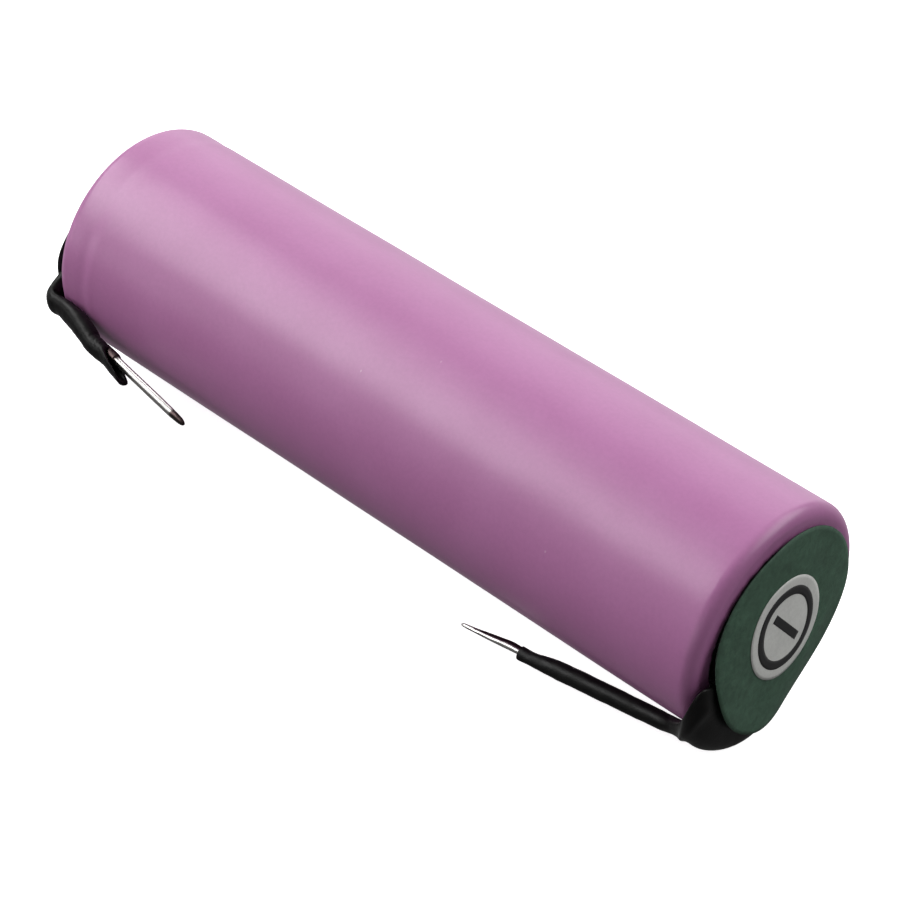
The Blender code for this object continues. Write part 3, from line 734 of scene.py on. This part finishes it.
@dataclass
class Slant:
    """A slanting cut of a tube, by distances from the hinge.

    Beyond `start`, the side next to the cell ends at `inner` and the far side at `outer`. The uncut tube ends at
    `last`.
    """

    start: float
    inner: float
    outer: float
    last: float


NEGATIVE_LEAD = Lead(outward=1, angle=math.radians(133), tilt=math.radians(6.8), body="negative_lead")
POSITIVE_LEAD = Lead(outward=-1, angle=math.radians(102), tilt=math.radians(8.7), body="positive_lead")
NEGATIVE_ROLL = Roll(height=0.36, inset=1.55, width=0.85, rise=(18, 34), fall=(56, 76))
POSITIVE_CUT = Slant(start=5.8, inner=7.7, outer=10.7, last=10.5)

# Stations along a lead's skin: radial and out places, half width along the arc, angle off the lead's own
# direction in degrees, thickness, squareness
NEGATIVE_SKIN = (
    (4.6, 0.50, 3.0, 0, 0.7, 3),
    (6.4, 0.62, 4.2, 0, 0.8, 3),
    (7.8, 0.80, 5.5, -2, 0.85, 3),
    (8.7, 0.82, 6.15, -4.2, 0.9, 2.2),
    (9.35, 0.58, 5.8, -5.0, 1.0, 1.9),
    (9.74, 0.05, 4.45, -4.6, 1.12, 1.75),
    (*NEGATIVE_LEAD.leg(1.2, -0.05), 2.6, -3.2, 1.14, 1.8),
    (*NEGATIVE_LEAD.leg(2.3, -0.07), 1.4, -1.5, 1.16, 1.9),
    (*NEGATIVE_LEAD.leg(3.9), 0.8, 0, 1.34, 2),
    (*NEGATIVE_LEAD.leg(8.0), 0.71, 0, 1.40, 2),
    (*NEGATIVE_LEAD.leg(12.0), 0.70, 0, 1.40, 2),
    (*NEGATIVE_LEAD.leg(13.4, 0.02), 0.66, 0, 1.36, 2),
    (*NEGATIVE_LEAD.leg(14.6, 0.08), 0.58, 0, 1.16, 2.2),
    (*NEGATIVE_LEAD.leg(15.6, 0.1), 0.54, 0, 1.04, 2.3),
    (*NEGATIVE_LEAD.leg(16.45, 0.08), 0.56, 0, 1.1, 2.3),
)
POSITIVE_SKIN = (
    (4.6, 0.50, 2.0, 0, 0.7, 3),
    (6.4, 0.60, 2.5, -2.5, 0.95, 3),
    (7.8, 0.76, 2.3, -5, 1.02, 3),
    (8.7, 0.82, 2.0, -5, 1.15, 2.6),
    (9.38, 0.62, 1.45, -2, 1.2, 2.3),
    (9.76, 0.04, 1.15, 0.5, 1.22, 2.1),
    (*POSITIVE_LEAD.leg(1.1), 1.08, 1.2, 1.24, 2.0),
    (*POSITIVE_LEAD.leg(2.3, -0.06), 1.25, 1.0, 1.45, 2.0),
    (*POSITIVE_LEAD.leg(3.5, -0.06), 1.22, 1.0, 1.62, 2),
    (*POSITIVE_LEAD.leg(4.8, 0.10), 1.08, 0.6, 1.64, 2),
    (*POSITIVE_LEAD.leg(6.2, 0.32), 0.98, 0, 1.5, 2),
    (*POSITIVE_LEAD.leg(7.9, 0.28), 0.95, 0, 1.4, 2),
    (*POSITIVE_LEAD.leg(9.3, 0.34), 0.95, 0, 1.5, 2),
    (*POSITIVE_LEAD.leg(10.5, 0.45), 0.95, 0, 1.5, 2),
)
SPAN_STEPS = 10
SKIN_SIDES = 64
WALL = 0.26
# How many rings back from its open end the skin is hollow
BORE_RINGS = 22
SKIN_UNEVEN = ((0.008, 2.1, 1, 0.4), (0.006, 3.7, 2, 1.3), (0.004, 6.1, -3, 2.2), (0.003, 9.0, 1, 0.9))
# The rounded lip at the open end: how far it stands out at its crest and beside it, and where beside it is
LIP_CREST = 0.06
LIP_SHOULDER = 0.05
LIP_SHARE = 0.35
# The rounded cap at the closed end, under the paper: share of the first ring, and how far in
CAP_RINGS = ((0.3, 0.25), (0.7, 0.2), (0.92, 0.1))
# Which way a slanting cut runs, as shares off the cell's side and across the tube, and where and over what width
SLANT_OFF = 0.87
SLANT_ACROSS = -0.5
SLANT_SHIFT = 0.3
SLANT_WIDTH = 1.3
# A place at the rim, as (radial, across, out), and a distance along the leg, which make_lead_skin turns into two
# points that it does not use
BEND_START = (9.35, 0.0, 0.75)
BEND_END = 2.6


def draw_rings(run, normal, roll, thinner=0.0):
    """The rings of a lead's skin as (radial, across, out), or of its bore when it is thinner by the wall."""
    travelled = np.concatenate([[0], np.cumsum(np.hypot(*np.diff(run[:, :2], axis=0).T))])
    rings = []
    for count, (station, side, gone) in enumerate(zip(run, normal, travelled)):
        radial, out, half_width, angle, thick, square = station
        a, u, v = squared_circle(SKIN_SIDES, square)
        uneven = waves(gone, a, SKIN_UNEVEN)
        half_thick = thick / 2 - thinner + uneven
        if roll:
            share = smoothstep(count, *roll.rise) * (1 - smoothstep(count, *roll.fall)) * (v > 0)
            half_thick = half_thick + roll.height * share * hump((u + 1) * half_width, roll.inset, roll.width)
        r = radial + side[0] * v * half_thick
        o = out + side[1] * v * half_thick
        swing = u * (half_width - thinner + uneven) / radial + math.radians(angle)
        rings.append(np.stack([r * np.cos(swing), r * np.sin(swing), o], 1))
    return np.array(rings)


def slant_cut(rings, tilt, cut):
    """Cuts a tube off at a slant, which leaves a tongue on the side away from the cell."""
    along = np.array([math.sin(tilt), -math.cos(tilt)])
    off = np.array([math.cos(tilt), math.sin(tilt)])
    radial = np.hypot(rings[..., 0], rings[..., 1])
    d = (radial - HINGE_RADIAL) * along[0] + (rings[..., 2] - HINGE_OUT) * along[1]
    h = (radial - HINGE_RADIAL) * off[0] + (rings[..., 2] - HINGE_OUT) * off[1]
    share = np.clip((SLANT_OFF * h + SLANT_ACROSS * rings[..., 1] + SLANT_SHIFT) / SLANT_WIDTH, 0, 1)
    end = cut.inner + (cut.outer - cut.inner) * smoothstep(share, 0, 1)
    moved = np.where(d > cut.start, cut.start + (d - cut.start) * (end - cut.start) / (cut.last - cut.start), d)
    new_radial = HINGE_RADIAL + moved * along[0] + h * off[0]
    shifted = rings * (new_radial / radial)[..., None]
    shifted[..., 2] = HINGE_OUT + moved * along[1] + h * off[1]
    return shifted


def make_lead_skin(name, lead, stations, roll=None, cut=None):
    """A lead's heat-shrink: capped under the paper, open at its end, and curved round the rim along the lead."""
    run = catmull(stations, SPAN_STEPS)
    tangent = np.gradient(run[:, :2], axis=0)
    tangent /= np.linalg.norm(tangent, axis=1)[:, None]
    normal = np.stack([-tangent[:, 1], tangent[:, 0]], 1)
    outer = draw_rings(run, normal, roll)
    bore = draw_rings(run, normal, roll, WALL)[-BORE_RINGS:][::-1]
    middle = draw_rings(run, normal, roll, WALL / 2)[-1:]
    if cut:
        outer, bore, middle = (slant_cut(rings, lead.tilt, cut) for rings in (outer, bore, middle))
    off = np.array([math.sin(lead.tilt), 0.0, -math.cos(lead.tilt)])
    lip = middle + LIP_CREST * off
    outer_lip = outer[-1:] * LIP_SHARE + middle * (1 - LIP_SHARE) + LIP_SHOULDER * off
    inner_lip = bore[:1] * LIP_SHARE + middle * (1 - LIP_SHARE) + LIP_SHOULDER * off
    first = outer[:1]
    centre = first.mean(axis=1, keepdims=True)
    cap = [centre + (first - centre) * share - np.array([drop, 0, 0]) for share, drop in CAP_RINGS]
    rings = np.concatenate([*cap, outer, outer_lip, lip, inner_lip, bore])
    faces = ring_faces(len(rings), SKIN_SIDES)
    skin = mesh_piece(name, lead.world(rings), faces, LOOKS["shrink"], body=None)
    start = lead.world(np.array(BEND_START)) * MM
    radial, out = lead.leg(BEND_END)
    end = lead.world(np.array([radial, 0.0, out])) * MM
    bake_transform(skin)
    return skin


negative_skin = make_lead_skin("negative_lead_sleeving", NEGATIVE_LEAD, NEGATIVE_SKIN, roll=NEGATIVE_ROLL)
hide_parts("negative_root_shrink", "negative_leg_shrink")
positive_skin = make_lead_skin("positive_lead_sleeving", POSITIVE_LEAD, POSITIVE_SKIN, cut=POSITIVE_CUT)
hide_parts("positive_root_shrink", "positive_leg_shrink")


# ---------------------------------------------------------------- pins

# Stations along a pin: distance from the hinge, half width across, inner and outer reach off its line, crease
# depth, and how much narrower the side next to the cell is
NEGATIVE_PIN = (
    (3.0, 0.36, -0.10, 0.10, 0.0, 0.0),
    (4.0, 0.40, -0.18, 0.18, 0.0, 0.0),
    (13.0, 0.36, -0.18, 0.20, 0.02, 0.0),
    (15.6, 0.37, -0.26, 0.24, 0.02, 0.3),
    (16.6, 0.40, -0.38, 0.26, 0.02, 0.68),
    (17.4, 0.40, -0.44, 0.26, 0.02, 0.72),
    (18.4, 0.39, -0.37, 0.26, 0.02, 0.68),
    (19.6, 0.36, -0.27, 0.25, 0.02, 0.55),
    (20.6, 0.31, -0.18, 0.22, 0.01, 0.3),
    (21.4, 0.26, -0.14, 0.21, 0.0, 0.1),
    (21.8, 0.20, -0.11, 0.18, 0.0, 0.0),
    (21.98, 0.09, -0.05, 0.11, 0.0, 0.0),
)
POSITIVE_PIN = (
    (3.0, 0.36, -0.10, 0.10, 0.0, 0.0),
    (4.0, 0.38, -0.18, 0.18, 0.0, 0.0),
    (6.5, 0.48, -0.42, 0.40, 0.0, 0.0),
    (8.6, 0.50, -0.46, 0.44, 0.0, 0.0),
    (9.3, 0.42, -0.33, 0.32, 0.03, 0.0),
    (14.0, 0.42, -0.32, 0.31, 0.03, 0.0),
    (16.0, 0.41, -0.31, 0.30, 0.02, 0.0),
    (16.9, 0.39, -0.29, 0.27, 0.0, 0.0),
    (17.5, 0.34, -0.26, 0.22, 0.0, 0.0),
    (17.85, 0.25, -0.19, 0.14, 0.0, 0.0),
    (18.0, 0.11, -0.09, 0.05, 0.0, 0.0),
)
PIN_SIDES = 48
PIN_STEPS = 8
SOLDER = ((0.008, 2.3, 1, 0.3), (0.006, 4.1, 2, 1.2), (0.004, 7.7, -1, 2.0))
CREASE_WIDTH = 0.06
CREASE_SHIFT = 0.1
# Where a pin's inner side, next to the cell, begins and is full: for the painted shade and for the taper
PAINTED_SHADE_RISE = (0.05, 0.5)
TAPER_RISE = (-0.1, 1)


def make_pin(name, lead, stations, squareness, darken_at):
    """A tinned pin: the strip folded on itself lengthwise, with a crease along each side and a rounded tip.

    The function given last gives how dark each ring is painted, as painted shade and as a dark tip, from its distance
    from the hinge and from its points' share of the inner side.
    """
    a, u, v = squared_circle(PIN_SIDES, squareness)
    inner_side = smoothstep(-v, *PAINTED_SHADE_RISE)
    rings, darkness = [], []
    for distance, half_width, inner, outer, crease, taper in catmull(stations, PIN_STEPS):
        middle, reach = (inner + outer) / 2, (outer - inner) / 2
        off_side = middle + v * reach
        pinch = crease * hump(off_side, middle - CREASE_SHIFT * reach, CREASE_WIDTH)
        narrowed = half_width * (1 - taper * smoothstep(-v, *TAPER_RISE))
        across = u * (narrowed + waves(distance, a, SOLDER)) - np.sign(u) * pinch
        radial, out = lead.leg(distance, off_side)
        rings.append(np.stack([radial, across, out], 1))
        darkness.append(darken_at(distance, inner_side))
    faces = ring_faces(len(rings), PIN_SIDES)
    pin = mesh_piece(name, lead.world(np.array(rings)), faces, LOOKS["tinned"], lead.body)
    # Stores each point's painted shade for the pin's material
    layer = pin.data.attributes.new("painted_shade_and_dark_tip", "FLOAT", "POINT")
    layer.data.foreach_set("value", np.concatenate(darkness).astype(np.float32))
    return pin


def negative_painted_shade(distance, inner_side):
    """Painted shade on the flank next to the cell, standing in for the shaded sleeve that the pin reflects, except at
    the tip.
    """
    return (1 - smoothstep(distance, 20.0, 20.9)) * inner_side


def positive_painted_shade_and_tip(distance, inner_side):
    """Painted shade all round at the root, standing in for the black tube lip that the pin reflects there, and dark
    all round at the tip.
    """
    tip = smoothstep(distance, 16.35, 16.6)
    root = 1 - smoothstep(distance, 8.9, 9.2)
    return np.full_like(inner_side, max(tip, root))


negative_pin = make_pin("negative_tinned_pin", NEGATIVE_LEAD, NEGATIVE_PIN, squareness=2.8, darken_at=negative_painted_shade)
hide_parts("negative_tag_pin")
positive_pin = make_pin("positive_tinned_pin", POSITIVE_LEAD, POSITIVE_PIN, squareness=2.4, darken_at=positive_painted_shade_and_tip)
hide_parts("positive_tag_pin")


# ---------------------------------------------------------------- stage, light and camera

# Sizes and places from here on are in metres
FLOOR_REACH = 3.0
FLOOR_CELLS = 24
FLOOR_DROP = 0.00006
FLOOR_GREY = 0.9
FLOOR_GLOW = 0.84
SKY_RADIANCE = 0.15
GROUND_RADIANCE = 0.13
SWEEP_RADIANCE = 0.9
SWEEP_DIRECTION = (-0.6, 0.7, 0.0)
# How nearly a direction must agree with SWEEP_DIRECTION for the ground to begin to brighten, and to be brightest
SWEEP_RISE = (0.4, 0.85)
# Height of a direction at which the ground gives way to the sky
HORIZON = (0.0, 0.02)
AIM_HEIGHT = 0.01
# Lights: name, azimuth and elevation in degrees, distance, width, height, radiance
LIGHTS = (
    ("key_softbox", 206, 43, 0.48, 0.535, 0.247, 5.15),
    ("back_softbox", 125, 26, 0.7, 0.7, 0.66, 1.42),
    ("top_softbox", 90, 80, 0.9, 0.6, 0.6, 0.5),
    ("side_fill", 52, 36, 0.9, 0.9, 0.6, 3.0),
    ("low_front_fill", 280, 8, 0.9, 0.9, 0.3, 0.8),
    ("low_left_fill", 222, 7, 0.6, 0.26, 0.14, 2.2),
)
CAMERA_LENS = 123.26
CAMERA_SENSOR = 36
CAMERA_CLIP = (0.01, 20)
CAMERA_PLACE = (0.12388, -0.12892, 0.1650396)
CAMERA_RIGHT = (0.72794, 0.68564, 0)
CAMERA_UP = (-0.45834, 0.48661, 0.74374)
CAMERA_BACK = (0.50994, -0.54139, 0.66847)


def make_floor():
    """A pale floor that glows, so that it stays evenly white, and that neither lights the cell nor mirrors in it."""
    coordinates = np.linspace(-FLOOR_REACH, FLOOR_REACH, FLOOR_CELLS + 1)
    points = [(x, y, -FLOOR_DROP) for y in coordinates for x in coordinates]
    row = FLOOR_CELLS + 1
    faces = []
    for j in range(FLOOR_CELLS):
        for i in range(FLOOR_CELLS):
            a = j * row + i
            faces.append((a, a + 1, a + row + 1, a + row))
    mesh = bpy.data.meshes.new("floor")
    mesh.from_pydata(points, [], faces)
    floor = bpy.data.objects.new("floor", mesh)
    bpy.context.scene.collection.objects.link(floor)
    look = Look("pale_floor", (FLOOR_GREY, FLOOR_GREY, FLOOR_GREY), 0.9)
    look.shader.inputs["Emission Color"].default_value = (1, 1, 1, 1)
    look.shader.inputs["Emission Strength"].default_value = FLOOR_GLOW
    floor.data.materials.append(look.material)
    floor.visible_diffuse = False
    floor.visible_glossy = False


def softbox(name, azimuth, elevation, distance, width, height, radiance):
    """A rectangular light aimed at the cell: its radiance is what its reflection shows."""
    azimuth, elevation = math.radians(azimuth), math.radians(elevation)
    direction = Vector(
        (math.cos(elevation) * math.cos(azimuth), math.cos(elevation) * math.sin(azimuth), math.sin(elevation))
    )
    light = bpy.data.lights.new(name, "AREA")
    light.shape = "RECTANGLE"
    light.size, light.size_y = width, height
    light.energy = radiance * width * height * math.pi
    obj = bpy.data.objects.new(name, light)
    obj.location = direction * distance + Vector((0, 0, AIM_HEIGHT))
    obj.rotation_euler = direction.to_track_quat("Z", "Y").to_euler()
    bpy.context.scene.collection.objects.link(obj)


def make_room():
    """A room of one brightness above; below, the ground is brighter behind the cell than near the camera."""
    world = bpy.data.worlds.new("soft_room")
    world.use_nodes = True
    nodes, links = world.node_tree.nodes, world.node_tree.links
    place = nodes.new("ShaderNodeTexCoord")
    split = nodes.new("ShaderNodeSeparateXYZ")
    links.new(place.outputs["Generated"], split.inputs["Vector"])
    towards = nodes.new("ShaderNodeVectorMath")
    towards.operation = "DOT_PRODUCT"
    towards.inputs[1].default_value = SWEEP_DIRECTION
    links.new(place.outputs["Generated"], towards.inputs[0])

    def rise(value, start, end, high):
        """A node that runs up to `high`, from its To Min, as a value goes from start to end."""
        node = nodes.new("ShaderNodeMapRange")
        node.inputs["From Min"].default_value = start
        node.inputs["From Max"].default_value = end
        node.inputs["To Max"].default_value = high
        links.new(value, node.inputs["Value"])
        return node

    ground = rise(towards.outputs["Value"], *SWEEP_RISE, SWEEP_RADIANCE)
    ground.inputs["To Min"].default_value = GROUND_RADIANCE
    room = rise(split.outputs["Z"], *HORIZON, SKY_RADIANCE)
    links.new(ground.outputs["Result"], room.inputs["To Min"])
    links.new(room.outputs["Result"], nodes["Background"].inputs["Color"])
    bpy.context.scene.world = world


def make_camera():
    """The camera, placed by its right, up and back directions."""
    camera_data = bpy.data.cameras.new("camera")
    camera_data.lens = CAMERA_LENS
    camera_data.sensor_width = CAMERA_SENSOR
    camera_data.clip_start, camera_data.clip_end = CAMERA_CLIP
    camera = bpy.data.objects.new("camera", camera_data)
    bpy.context.scene.collection.objects.link(camera)
    turn = Matrix((CAMERA_RIGHT, CAMERA_UP, CAMERA_BACK)).transposed()
    camera.matrix_world = Matrix.Translation(CAMERA_PLACE) @ turn.to_4x4()
    bpy.context.scene.camera = camera


make_floor()
for light in LIGHTS:
    softbox(*light)
make_room()
make_camera()
bpy.context.scene.view_settings.view_transform = "Standard"
